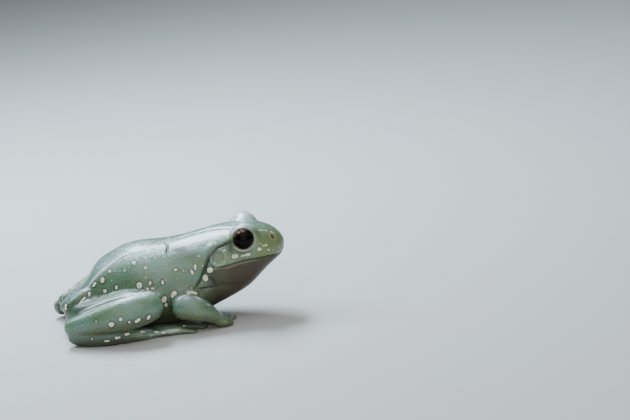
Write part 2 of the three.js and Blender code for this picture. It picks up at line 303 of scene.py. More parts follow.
grownTogether = [  # two solids, how far their seam is evened out, and between which places ahead of the hips
    ("trunk", "head", 2.4, -99, 99), ("head", "lower_jaw", 1.6, -99, 99),
    ("lower_jaw", "trunk", 2.6, -99, 99)]
for side in ("r", "l"):
    grownTogether += [
        ("head", "ear_drum_" + side, 0.9, -99, 99), ("trunk", "upper_arm_" + side, 2.6, -99, 99),
        ("upper_arm_" + side, "forearm_" + side, 1.6, -99, 99),
        ("forearm_" + side, "hand_" + side, 1.6, -99, 99),
        ("trunk", "thigh_" + side, 3.0, -99, 4), ("thigh_" + side, "shank_" + side, 1.8, 21, 99),
        ("shank_" + side, "tarsus_" + side, 1.8, -99, -3), ("tarsus_" + side, "foot_" + side, 1.8, -99, 99)]
    grownTogether += [("hand_" + side, f"finger_{n}_{side}", 1.0, -99, 99) for n in range(1, 5)]
    grownTogether += [("foot_" + side, f"toe_{n}_{side}", 1.0, -99, 99) for n in range(1, 6)]


def edgesOf(mesh):
    ends = np.empty(len(mesh.edges) * 2, np.int32)
    mesh.edges.foreach_get("vertices", ends)
    return ends.reshape(-1, 2)


def readPlaces(mesh):  # x, ahead, z in millimetres
    raw = np.empty(len(mesh.vertices) * 3)
    mesh.vertices.foreach_get("co", raw)
    raw = raw.reshape(-1, 3)
    return np.stack([raw[:, 0], hips - raw[:, 1], raw[:, 2]], 1) / mm


def writePlaces(mesh, places):
    raw = np.stack([places[:, 0] * mm, hips - places[:, 1] * mm, places[:, 2] * mm], 1)
    mesh.vertices.foreach_set("co", raw.ravel())
    mesh.update()


def readNormals(mesh):
    raw = np.empty(len(mesh.vertices) * 3, np.float32)
    mesh.vertex_normals.foreach_get("vector", raw)
    raw = raw.reshape(-1, 3).astype(float)
    return np.stack([raw[:, 0], -raw[:, 1], raw[:, 2]], 1)


def relax(places, edges, share, rounds):
    first, second = edges[:, 0], edges[:, 1]
    count = len(places)
    around = np.maximum(np.bincount(first, minlength=count) + np.bincount(second, minlength=count), 1)
    for _ in range(rounds):
        for axis in range(3):
            column = places[:, axis]
            total = np.bincount(first, column[second], count) + np.bincount(second, column[first], count)
            places[:, axis] = column + share * (total / around - column)
    return places


def smooth(value, low, high):
    t = np.clip((value - low) / (high - low), 0, 1)
    return t * t * (3 - 2 * t)


def hump(distance, width):
    return np.exp(-(distance / width) ** 2)


def awayFrom(places, path, normals=None, sink=0.8):  # distance to a line, less what lies along the normals
    path = np.array(path, float)
    best = np.full(len(places), 99.0)
    for start, end in zip(path[:-1], path[1:]):
        line = end - start
        t = np.clip((places - start) @ line / (line @ line + 1e-9), 0, 1)
        gap = places - start - t[:, None] * line
        if normals is not None:
            gap = gap - sink * (gap * normals).sum(1)[:, None] * normals
        best = np.minimum(best, np.linalg.norm(gap, axis=1))
    return best


def endFade(places, path):  # a stroke thins out toward its two ends
    ends = np.array((path[0], path[-1]), float)
    length = np.linalg.norm(np.diff(np.array(path, float), axis=0), axis=1).sum()
    near = np.minimum(*(np.linalg.norm(places - end, axis=1) for end in ends))
    return smooth(near, 0, min(3.0, length / 3))


def fromEyeAxis(even):  # how far places lie from the line the eye looks along, and how far out along it
    lean = math.radians(lid["lean"])
    axis = np.array((math.cos(lean), 0, math.sin(lean)))
    offset = even - (eye["x"], eye["ahead"], eye["z"])
    depth = offset @ axis
    return np.linalg.norm(offset - depth[:, None] * axis, axis=1), depth


def laidOver(places, normals):  # both sides of the frog laid over each other
    flip = np.stack([np.where(places[:, 0] < 0, -1, 1), np.ones(len(places)), np.ones(len(places))], 1)
    return places * flip, normals * flip


def drawnBack(even, left, name):  # the left limbs lie further back than the right ones
    return even + left[:, None] * [0, limbsBack.get(name, 0), 0]


def growSkin():
    flesh = [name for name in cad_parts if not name.startswith("eye_")]
    select(*(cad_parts[name] for name in flesh))
    bpy.ops.object.duplicate()
    bpy.ops.object.join()
    body = bpy.context.object
    body.name = "skin"
    body.parent = None
    for key in list(body.keys()):
        del body[key]
    bpy.ops.object.mode_set(mode="EDIT")
    bpy.ops.mesh.select_all(action="SELECT")
    bpy.ops.mesh.remove_doubles(threshold=skin["weld"] * mm)
    flattest = math.radians(skin["quadAngle"])
    bpy.ops.mesh.tris_convert_to_quads(face_threshold=flattest, shape_threshold=flattest * 1.5)
    bpy.ops.mesh.select_all(action="DESELECT")
    bpy.ops.mesh.edges_select_sharp(sharpness=math.radians(skin["creaseAngle"]))
    bpy.ops.transform.edge_crease(value=1.0)
    bpy.ops.object.mode_set(mode="OBJECT")
    addModifier(body, "SUBSURF", levels=skin["rounds"], render_levels=skin["rounds"])
    addModifier(body, "DISPLACE", strength=skin["puff"] * mm, mid_level=0.0)
    extras = [shape(side) for side in (-1, 1) for shape in (lidShell, lidRim)]
    extras += [softFill(*fill) for fill in fills]
    extras += [toeWeb(letter, n) for letter in "rl" for n in range(1, 5)]
    select(*extras, body)
    bpy.ops.object.join()
    addModifier(body, "REMESH", mode="VOXEL", voxel_size=skin["grain"] * mm, adaptivity=0.0)
    print("skin grown:", len(body.data.vertices), "points")
    return body, flesh


def eyeCentre(side):
    return place(side * eye["x"], eye["ahead"], eye["z"])


def eyeAxis(side):  # the way the eye looks, out to its side and a little up
    lean = math.radians(lid["lean"])
    return Vector((side * math.cos(lean), 0, math.sin(lean)))


def lidShell(side):  # the lids' bulge, cut off flat where they open
    bpy.ops.mesh.primitive_uv_sphere_add(
        segments=48, ring_count=32, radius=lid["shell"] * mm, location=eyeCentre(side))
    shell = bpy.context.object
    settle(shell)
    opening = eyeCentre(side) + eyeAxis(side) * lid["opening"] * mm
    bpy.ops.object.mode_set(mode="EDIT")
    bpy.ops.mesh.select_all(action="SELECT")
    bpy.ops.mesh.bisect(plane_co=opening, plane_no=eyeAxis(side), clear_outer=True, use_fill=True)
    bpy.ops.object.mode_set(mode="OBJECT")
    return shell


def lidRim(side):  # their soft round edge
    bpy.ops.mesh.primitive_torus_add(
        major_radius=lid["across"] * mm, minor_radius=lid["tube"] * mm, major_segments=56, minor_segments=12,
        location=eyeCentre(side) + eyeAxis(side) * lid["opening"] * mm,
        rotation=(0, side * math.radians(90 - lid["lean"]), 0))
    rim = bpy.context.object
    settle(rim)
    return rim


def toeWeb(letter, n):  # thin skin between the roots of two toes
    side = -1 if letter == "r" else 1
    corners = []
    for name in (f"toe_{n}_{letter}", f"toe_{n + 1}_{letter}"):
        low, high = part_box(name)
        inner, outer = sorted((abs(low.x), abs(high.x)))
        fromRoot, fromTip = web["fromRoot"] * mm, web["fromTip"] * mm
        root = Vector((side * (outer - fromRoot), high.y - fromRoot, web["z"] * mm))
        tip = Vector((side * (inner + fromTip), low.y + fromTip, web["z"] * mm))
        corners += [root, root.lerp(tip, web["reach"])]
    bpy.ops.mesh.primitive_plane_add(size=mm)
    sheet = bpy.context.object
    for point, corner in zip(sheet.data.vertices, corners):
        point.co = corner
    addModifier(sheet, "SOLIDIFY", thickness=web["thick"] * mm, offset=0.0)
    bpy.ops.object.mode_set(mode="EDIT")
    bpy.ops.mesh.select_all(action="SELECT")
    bpy.ops.mesh.normals_make_consistent(inside=False)
    bpy.ops.object.mode_set(mode="OBJECT")
    return sheet


def softFill(x, ahead, z, wide, long, high, tilt):
    bpy.ops.mesh.primitive_uv_sphere_add(
        segments=32, ring_count=20, radius=mm, location=place(x, ahead, z),
        scale=(wide, long, high), rotation=(-math.radians(tilt), 0, 0))
    fill = bpy.context.object
    settle(fill)
    return fill


def solidTree(name):
    return BVHTree.FromObject(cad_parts[name], bpy.context.evaluated_depsgraph_get())


def distancesTo(tree, mesh, wanted):
    return np.array([tree.find_nearest(mesh.vertices[i].co)[3] / mm for i in wanted])


def evenSeams(body):  # smooths the skin only where two solids that grow into each other meet
    mesh = body.data
    places, edges = readPlaces(mesh), edgesOf(mesh)
    share = np.zeros(len(places))
    trees = {}
    for first, second, reach, start, end in grownTogether:
        inside = (places[:, 1] > start) & (places[:, 1] < end)
        for name in (first, second):
            low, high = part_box(name)
            least = np.array((low.x, hips - high.y, low.z)) / mm - reach
            most = np.array((high.x, hips - low.y, high.z)) / mm + reach
            inside &= (places > least).all(axis=1) & (places < most).all(axis=1)
            trees.setdefault(name, solidTree(name))
        wanted = np.flatnonzero(inside)
        if len(wanted):
            far = np.maximum(*(distancesTo(trees[name], mesh, wanted) for name in (first, second)))
            share[wanted] = np.maximum(share[wanted], 1 - smooth(far, reach * 0.35, reach))
    even = laidOver(places, places)[0]
    fromAxis, depth = fromEyeAxis(even)
    besideLid = hump(fromAxis - lid["shell"] - 0.3, 1.0) * smooth(even[:, 0], 3, 6)
    share = np.maximum(share, lid["blend"] * besideLid * (1 - smooth(depth, 1.2, 2.4)))
    relax(places, edges, skin["seamShare"] * share, skin["seamRounds"])
    relax(places, edges, skin["evenShare"], skin["evenRounds"])
    writePlaces(mesh, places)


# strokes on the skin: x outwards, ahead, z in millimetres, the same on both sides
mouthLine = (  # ahead, and the height there
    [40, 45.5, 48.6, 51, 54, 57, 60, 65, 68, 71.5, 76],
    [21.2, 21.3, 21.3, 21.4, 21.9, 22.35, 22.6, 22.5, 22.5, 22.4, 21.8])
mouth = dict(depth=0.62, gape=0.3, upperLip=0.2, lowerLip=0.12, lipWide=0.5)
ear = dict(ahead=49.1, z=25.0, across=2.85, ring=0.2, ringWide=0.45, dish=0.25)
nostril = (6.0, 69.2, 28.6)
pitLook = dict(depth=1.0, wide=0.62, rim=0.22, rimWide=0.4, rimAcross=1.1)
# the darkness of a stroke is painted shade along its crease
strokes = dict(  # path, width, height (below 0 is a groove), how dark it is painted
    earFold=([(11.2, 54.2, 29.2), (11.7, 52.0, 28.9), (12.2, 49.5, 28.2), (12.8, 47.5, 27.0),
              (13.2, 46.0, 25.3), (13.9, 44.9, 23.4), (14.5, 44.0, 21.8), (14.9, 42.9, 19.6),
              (15.2, 41.6, 17.5), (15.6, 40.2, 15.5), (15.9, 38.8, 13.6)], 0.45, -0.75, 0.75),
    shoulderRoll=([(11.4, 49.2, 30.0), (12.2, 46.6, 28.7), (12.9, 44.4, 26.6), (13.5, 42.9, 23.6),
                   (14.4, 41.4, 20.4), (14.9, 40.0, 17.8)], 1.3, 0.35, 0),
    eyeCrease=([(12.3, 54.6, 27.4), (12.5, 56.2, 26.1), (12.3, 58.0, 25.35), (12.0, 60.2, 25.4),
                (11.7, 61.6, 26.1)], 0.30, -0.4, 0.75),
    armCrease=([(15.5, 37.6, 14.9), (15.4, 40.4, 14.6), (14.8, 42.9, 14.4), (14.1, 45.4, 14.3),
                (13.3, 47.0, 14.5), (12.4, 49.0, 14.3)], 0.42, -0.45, 0.75),
    chestCrease=([(14.8, 44.8, 19.4), (14.6, 45.8, 17.5), (14.2, 46.8, 15.5),
                  (13.4, 47.6, 14.6)], 0.55, -0.4, 0.7),
    backCrease=([(3.0, 29.9, 30.2), (5.6, 31.1, 29.7), (7.8, 31.3, 29.0), (9.8, 30.9, 28.2),
                 (12.2, 31.3, 26.4)], 0.42, -0.30, 0.75),
    backRidge=([(9.0, 23.6, 28.5), (8.0, 21.1, 28.9), (7.6, 17.8, 28.6), (7.9, 13.6, 27.2),
                (8.6, 7.8, 23.6), (8.4, 3.7, 20.4), (8.0, 0.5, 18.0), (8.0, -2.9, 16.1),
                (8.0, -6.2, 14.2), (7.8, -9.1, 12.5)], 0.7, 0.15, 0),
    thighHollow=([(11.6, -1.0, 13.2), (12.6, 3.0, 14.6), (13.6, 7.0, 15.8)], 1.5, -0.5, 0),
    kneeTop=([(20.4, 21.5, 16.2), (20.6, 24.4, 15.6), (20.0, 26.6, 14.4)], 1.5, 0.9, 0),
    elbowFold=([(20.6, 32.0, 12.6), (20.2, 33, 13.6), (19.5, 35.6, 14.4), (19.3, 37.7, 14.0),
                (18.5, 39.2, 13.3), (17.4, 41.2, 12.2)], 0.4, -0.6, 0.8),
    shoulderFold=([(19.3, 31.8, 12.4), (18.5, 33.1, 14.0), (18.3, 35.3, 15.0), (17.7, 36.7, 15.1),
                   (16.8, 38.6, 15.0)], 0.35, -0.3, 0.6),
    pouch=([(14.3, 47.4, 16.5), (13.4, 49.7, 14.9), (12.5, 52.2, 13.9), (11.4, 55.0, 13.7),
            (11.1, 58.1, 15.2)], 0.9, -0.3, 0.3),
    lidLine=([(10.2, 63.4, 32.4), (10.2, 61.8, 33.9), (10.2, 60.2, 34.7), (9.9, 58.6, 35.0),
              (9.0, 57.0, 34.9), (7.2, 55.6, 34.3), (5.0, 54.4, 33.6),
              (4.0, 52.4, 33.1)], 0.36, -0.2, 0.95),
    neckLine=([(7.2, 55.6, 34.3), (5.0, 54.4, 33.6), (4.0, 52.4, 33.1), (3.2, 49.9, 32.8),
               (2.4, 46.9, 32.6), (1.9, 43.2, 31.9), (1.4, 39.8, 31.4), (2.0, 36.6, 30.8),
               (3.4, 33.4, 30.4)], 0.95, -0.2, 0.95),
    jawCorner=([(14.1, 48.4, 21.3), (14.3, 47.2, 21.6), (14.3, 46.4, 22.4),
                (13.9, 46.0, 23.6)], 0.3, -0.3, 0.7),
    thighRollLow=([(15.4, -1.6, 10.6), (17.6, 2.6, 12.4), (18.7, 6.1, 13.9), (20.2, 11.1, 15.4),
                   (21, 16.1, 16.2)], 0.40, 0.22, 0),
    thighRollHigh=([(14.5, 1.7, 13.9), (15.2, 6.1, 15.6), (15.8, 9.5, 16.3), (17, 13.5, 16.9),
                    (18.4, 18.5, 17.0)], 0.45, 0.22, 0))
limbsBack = dict(leg=6, kneeTop=6, thighHollow=6, thighRollLow=6, thighRollHigh=6,
                 arm=7, elbowFold=7, shoulderFold=7)
thinStrokes = ("earFold", "eyeCrease", "armCrease", "lidLine", "neckLine", "backCrease", "elbowFold",
               "jawCorner")


def shapeSkin(body):
    mesh = body.data
    places, normals = readPlaces(mesh), readNormals(mesh)
    even, evenNormals = laidOver(places, normals)
    lift = np.zeros(len(places))
    left = places[:, 0] > 0
    for name, (path, width, height, _) in strokes.items():
        where = drawnBack(even, left, name)
        lift += height * hump(awayFrom(where, path, evenNormals), width) * endFade(where, path)
    x, ahead, z = even.T
    gape = z - np.interp(ahead, *mouthLine)
    along = smooth(ahead, 46.4, 50.5) * (1 - 0.7 * smooth(ahead, 67, 71.5))
    lips = mouth["upperLip"] * hump(gape - 0.85, mouth["lipWide"])
    lips += mouth["lowerLip"] * hump(gape + 0.8, mouth["lipWide"])
    lift += along * (lips - mouth["depth"] * hump(gape, mouth["gape"]))
    fromEar = np.hypot(ahead - ear["ahead"], z - ear["z"])
    ring = ear["ring"] * hump(fromEar - ear["across"], ear["ringWide"])
    lift += smooth(x, 8, 10) * (ring - ear["dish"] * (1 - smooth(fromEar, 1.6, 2.6)))
    pit = awayFrom(even, [nostril, nostril], evenNormals)
    lift += pitLook["rim"] * hump(pit - pitLook["rimAcross"], pitLook["rimWide"])
    lift -= pitLook["depth"] * hump(pit, pitLook["wide"])
    lift -= 0.4 * smooth(ahead, 70.5, 73) * hump(z - 23.4, 1.6)  # the snout's tip slopes in above the mouth
    lift += 0.14 * smooth(-spotField(places, normals)[0], -0.1, 0.35)  # the spots stand a little proud
    places += normals * lift[:, None]
    places[:, 2] = np.where(places[:, 2] < skin["flat"], 0, places[:, 2])
    writePlaces(mesh, places)
    mesh.calc_loop_triangles()
    keep = nearDetail(even, left, strokes, skin["keepReach"]) | (spotField(places, normals)[0] < 0.4)
    plain = body.vertex_groups.new(name="plain")
    plain.add(np.flatnonzero(~keep).tolist(), 1.0, "REPLACE")
    addModifier(body, "DECIMATE", ratio=skin["triangles"] / len(mesh.loop_triangles), vertex_group="plain")
    body.vertex_groups.clear()
    print("skin shaped:", len(body.data.polygons), "faces")


def nearDetail(even, left, names, reach):  # places by these strokes, the mouth, nostrils, lids or ears
    near = np.zeros(len(even), bool)
    for name in names:
        near |= awayFrom(drawnBack(even, left, name), strokes[name][0]) < reach
    near |= (np.abs(even[:, 2] - np.interp(even[:, 1], *mouthLine)) < 1.0) & (even[:, 1] > 46)
    near |= np.linalg.norm(even - nostril, axis=1) < 2.0
    near |= (np.abs(fromEyeAxis(even)[0] - lid["across"]) < 1.0) & (even[:, 0] > 8)
    fromEar = np.hypot(even[:, 1] - ear["ahead"], even[:, 2] - ear["z"])
    return near | (np.abs(fromEar - ear["across"]) < 0.7) & (even[:, 0] > 8)


def refineHead(body):  # finer faces where the lids, mouth, ears, nostrils and thin folds are
    mesh = body.data
    middles = np.empty(len(mesh.polygons) * 3)
    mesh.polygons.foreach_get("center", middles)
    middles = middles.reshape(-1, 3) / mm
    even = np.stack([np.abs(middles[:, 0]), hips / mm - middles[:, 1], middles[:, 2]], 1)
    near = nearDetail(even, middles[:, 0] > 0, thinStrokes, skin["fineReach"])
    bpy.ops.object.mode_set(mode="EDIT")
    bpy.ops.mesh.select_all(action="DESELECT")
    bpy.ops.object.mode_set(mode="OBJECT")
    mesh.polygons.foreach_set("select", near)
    bpy.ops.object.mode_set(mode="EDIT")
    bpy.ops.mesh.select_mode(type="FACE")
    bpy.ops.mesh.subdivide(number_cuts=1)
    bpy.ops.object.mode_set(mode="OBJECT")
    places = readPlaces(mesh)
    relax(places, edgesOf(mesh), 0.4, 2)
    writePlaces(mesh, places)
    print("head refined:", len(mesh.vertices), "points")


# spots: x outwards, ahead, z, radius, half length ahead and up, and how dark the rim is
flankSpots = [
    (12.5, 18.7, 25.9, 0.75, 0, 0, 0.6), (14.8, 22.8, 24.2, 0.42, 0, 0, 0.3),
    (13.3, 15.2, 23.7, 0.4, 0, 0, 0.3), (10.7, 9.6, 23.2, 0.45, 0, 0, 0.4),
    (10.8, 6.7, 20.3, 0.68, 0, 0.3, 1), (9.4, 3.5, 18.6, 0.45, 0.35, 0.35, 1),
    (14, 11.5, 17.9, 0.5, 0, 0.2, 0.9), (12.2, 7.1, 16.6, 0.6, 0.2, 0, 0.9),
    (9.7, 1.2, 15, 0.52, 0, 0.35, 1), (11.1, -1.1, 14, 0.42, 0.5, 0.55, 0.9),
    (11.9, -2.3, 13.2, 0.3, 0.2, 0.2, 0.7), (9.4, -7.5, 11.3, 0.45, 0, 0.45, 1),
    (17.2, 19.9, 18.6, 0.92, 0, 0.2, 1), (17.5, 23.9, 19.2, 0.42, 0, 0.35, 0.9),
    (18, 22.8, 17.2, 0.35, 0.2, 0, 0.8), (18.1, 24.6, 17.2, 0.36, 0.25, 0, 0.8),
    (17.9, 25.7, 17.8, 0.25, 0, 0, 0.6), (17.8, 22.3, 18.7, 0.22, 0, 0, 0.5),
    (17.5, 28.3, 19, 0.42, 0, 0.35, 0.9), (14.5, 30.3, 24.5, 0.33, 0, 0, 0.3),
    (15.6, 33.5, 22.5, 0.4, 0.35, 0, 0.7), (15.5, 36, 21.9, 0.28, 0, 0, 0.5),
    (15.4, 37, 21.7, 0.28, 0, 0, 0.5), (15.3, 39.2, 21, 0.4, 0.25, -0.35, 0.7),
    (14.7, 40.5, 22.5, 0.4, 0, 0.55, 0.6), (12.9, 42.3, 25.9, 0.28, 0, 0, 0),
    (7.6, 39.2, 29.8, 0.26, 0, 0, 0), (17.7, 31.9, 14, 0.85, 0.25, 0.3, 0.8),
    (18.1, 28.1, 12.7, 0.9, 0.1, 0.3, 0.8), (17.3, 28.6, 10.6, 0.42, 0, 0.25, 0.7),
    (12, 24.5, 27.2, 0.26, 0, 0, 0.2), (10.5, 27.3, 28.6, 0.26, 0, 0, 0.2),
    (16.2, 38, 15.2, 0.35, 0.2, 0, 0.5), (15.4, 33.3, 25.2, 0.25, 0, 0, 0.3),
    (16.9, 15.2, 20.4, 0.28, 0, 0, 0.5)]
headSpots = [
    (14.6, 45.7, 20.9, 0.92, 0, 0, 0.7), (14.8, 43.7, 18.2, 0.72, 0, 0.4, 0.5),
    (11, 47.3, 29.3, 0.36, 0, 0, 0), (10.9, 48.6, 29.5, 0.34, 0, 0, 0),
    (13.1, 55.1, 24.6, 0.66, 0.45, 0, 0.5), (12.2, 58.1, 24.3, 0.26, 0.7, 0, 0.3),
    (12, 59.8, 24.5, 0.4, 0.5, 0.05, 0.3), (10.7, 64.1, 25.7, 0.52, 0.3, 0, 0.2),
    (9.5, 65.8, 26.5, 0.3, 1.0, 0.15, 0), (9.8, 64.6, 27.1, 0.26, 0.15, 0.2, 0),
    (9, 67.1, 24.6, 0.3, 0, 0, 0), (8, 68.7, 24.2, 0.26, 0, 0, 0), (6.2, 70.7, 24.7, 0.22, 0, 0, 0),
    (8.6, 63, 32.7, 0.22, 0.5, -0.3, 0), (6.8, 64.4, 31.6, 0.34, 0.25, 0, 0),
    (6.2, 65.8, 31.2, 0.18, 0.6, 0, 0), (5.6, 67, 30.9, 0.28, 0.35, 0, 0),
    (4.9, 69.2, 29.9, 0.26, 0.35, -0.35, 0), (9.6, 53.6, 32.6, 0.4, 0.25, 0.1, 0),
    (9.2, 52, 31.4, 0.26, 0, 0, 0), (12.9, 51.6, 27, 0.24, 0.15, 0.1, 0)]
limbSpots = [
    (17.8, 39.2, 13.9, 0.5, 1.1, 0, 0.3), (18.4, 36.9, 14, 0.4, 0.5, 0.1, 0.2),
    (30.3, 3.9, 10.6, 0.42, 0, 0, 0.5), (31.6, 9.2, 9.1, 0.85, 0.15, 0.15, 0.9),
    (31.6, 12.7, 10.8, 0.5, 0, 0.1, 0.7), (31.4, 15.6, 9.2, 0.5, 0, 0, 0.8),
    (30.6, 18.6, 9.3, 0.55, 0.6, 0.2, 0.8), (29.2, 22.5, 9.7, 0.7, 0.1, 0.2, 0.8),
    (27.6, 1.4, 3.5, 0.35, 0, 0, 0.5), (28.2, 6.7, 2.4, 0.36, 0.6, 0, 0.6),
    (28.1, 10.7, 3.1, 0.36, 0.5, 0, 0.6), (26.9, 14, 3.8, 0.4, 0.5, 0, 0.7),
    (24.7, 19.6, 3.4, 0.45, 0.6, 0, 0.6), (22.8, 24.2, 2.2, 0.3, 0.8, 0, 0.5),
    (22.8, 27.1, 1.8, 0.26, 0.7, 0, 0.4), (18, 34.3, 2, 0.25, 0.4, 0, 0.4),
    (28.6, -1.5, 9.3, 0.3, 0, 0, 0.4), (19.4, 24.8, 13.4, 0.4, 0, 0.3, 0.6)]
# painted highlights: pale streaks painted where the wet crests catch the light
gleams = [  # pale streaks on the crests of the back, then of the legs and arms: path, width, how pale
    (strokes["backRidge"][0][:-1], 0.55, 0.7)]
limbGleams = [
    ([(13.5, -4.0, 9.1), (15.8, 0.1, 11.5), (17.8, 5.1, 13.6), (19.6, 10.0, 15.3), (21.4, 15.3, 16.3),
      (22.8, 18.6, 16.9)], 0.4, 0.75),
    ([(14.1, 2.1, 13.8), (14.2, 5.9, 15.2), (14.4, 9.9, 16.3), (15.7, 14.4, 16.9), (17.4, 19.2, 17.0),
      (18.1, 23.5, 16.2), (18.4, 26.2, 14.8)], 0.45, 0.65),
    ([(25.4, -2.1, 11.8), (25.5, 2.5, 14.0), (26.2, 7.5, 15.5), (26.5, 12.5, 16.7), (26, 18, 17.1),
      (25.2, 24, 16.5)], 0.6, 0.6),
    ([(21.5, 21.5, 17.0), (22.0, 26.0, 15.4)], 1.5, 0.45), ([(26, 17, 3.4), (21.5, 24, 2.7)], 0.8, 0.6),
    ([(25.1, 20.5, 1.7), (22.6, 29.2, 1.9), (21.5, 34, 1.9)], 0.6, 0.5)]
armGleams = [
    ([(21.2, 32.5, 12.6), (21.0, 34.1, 13.5), (20.5, 35.6, 13.9), (20.4, 36.9, 13.5)], 0.55, 0.75),
    ([(20.9, 39.2, 13.4), (21.0, 40.4, 12.7), (21.5, 41.6, 11.9)], 0.38, 0.85),
    ([(22.0, 43.6, 10.4), (21.7, 44.3, 9.8)], 0.3, 0.6)]
foreArm = [(19.8, 34.9, 9.4), (20.2, 39.3, 8.7), (19.6, 42.9, 6.8), (18.4, 46.3, 4.0), (15.2, 49.1, 1.2)]
farThigh = [  # the rosy heel and thigh that show behind the rump
    (19, -13, 7), (22, -10, 8.4), (10.2, -6.5, 12.6), (11.8, -3, 14.4), (13.2, 0.4, 15.8), (14.4, 3.5, 16.8)]
leftSpots = [(9.4, -8.6, 11.2, 0.7, 0.35, 0.3, 0.5), (11.6, -3.6, 14.2, 0.35, 0.5, 0.2, 0.2),
             (21.6, -10.4, 8.2, 0.6, 0.5, 0.3, 0.4), (18.8, -13.3, 6.4, 0.8, 0.5, 0.3, 0.8)]
eyebrow = [(9.4, 56.5, 34.2), (10.6, 54.8, 32.6)]
flankLight = [(13.6, 21.0, 25.0), (14.6, 32.0, 24.0)]
chestGreen = [(13.6, 43.6, 12.4), (12.6, 45, 10)]
thighShadow = [(13.5, -3.0, 10.5), (14.5, 4.0, 13.0)]
shadows = [  # darker places: path, width, how dark
    ([(12.2, 53.4, 29.8), (12.6, 54, 26.8)], 1.4, 0.85), (strokes["chestCrease"][0], 1.6, 0.35),
    (strokes["backCrease"][0], 0.8, 0.5), ([(9.2, 33.8, 28.6), (9.8, 36.5, 28.4)], 2.0, 0.75),
    ([(12.3, 35.5, 27.4), (12.9, 40.0, 26.2)], 2.0, 0.4)]
lidTop = (8, 57.6, 34.6)
skinMarks = ("warm", "low", "olive", "bloomAndSheen", "gleam", "stipple", "throat", "throatGreen", "belly", "rosy",
             "shade", "lip", "tan", "pale", "creaseShade", "spot", "spotRim", "pit")


def spotField(places, normals):  # distance to the nearest spot's edge, and how dark that spot's rim is
    field, rim = np.full(len(places), 3.0), np.zeros(len(places))
    even, evenNormals = laidOver(places, normals)
    left = places[:, 0] > 0
    _, along, height = even.T
    wander = np.stack([0 * along, 1.6 * np.sin(0.45 * height + 1), 1.1 * np.sin(0.33 * along)], 1)
    flank = even + left[:, None] * wander  # the left flank's spots lie a little differently
    limbs = drawnBack(even, left, "leg")
    for where, spots in ((flank, flankSpots), (even, headSpots), (limbs, limbSpots), (places, leftSpots)):
        for x, ahead, z, radius, long, tall, dark in spots:
            near = np.flatnonzero(np.abs(where - (x, ahead, z)).max(axis=1) < 4)
            path = [(x, ahead - long, z - tall), (x, ahead + long, z + tall)]
            facing = normals if where is places else evenNormals
            reach = awayFrom(where[near], path, facing[near]) - radius
            closer = reach < field[near]
            field[near[closer]] = reach[closer]
            rim[near[closer]] = dark
    return field, rim


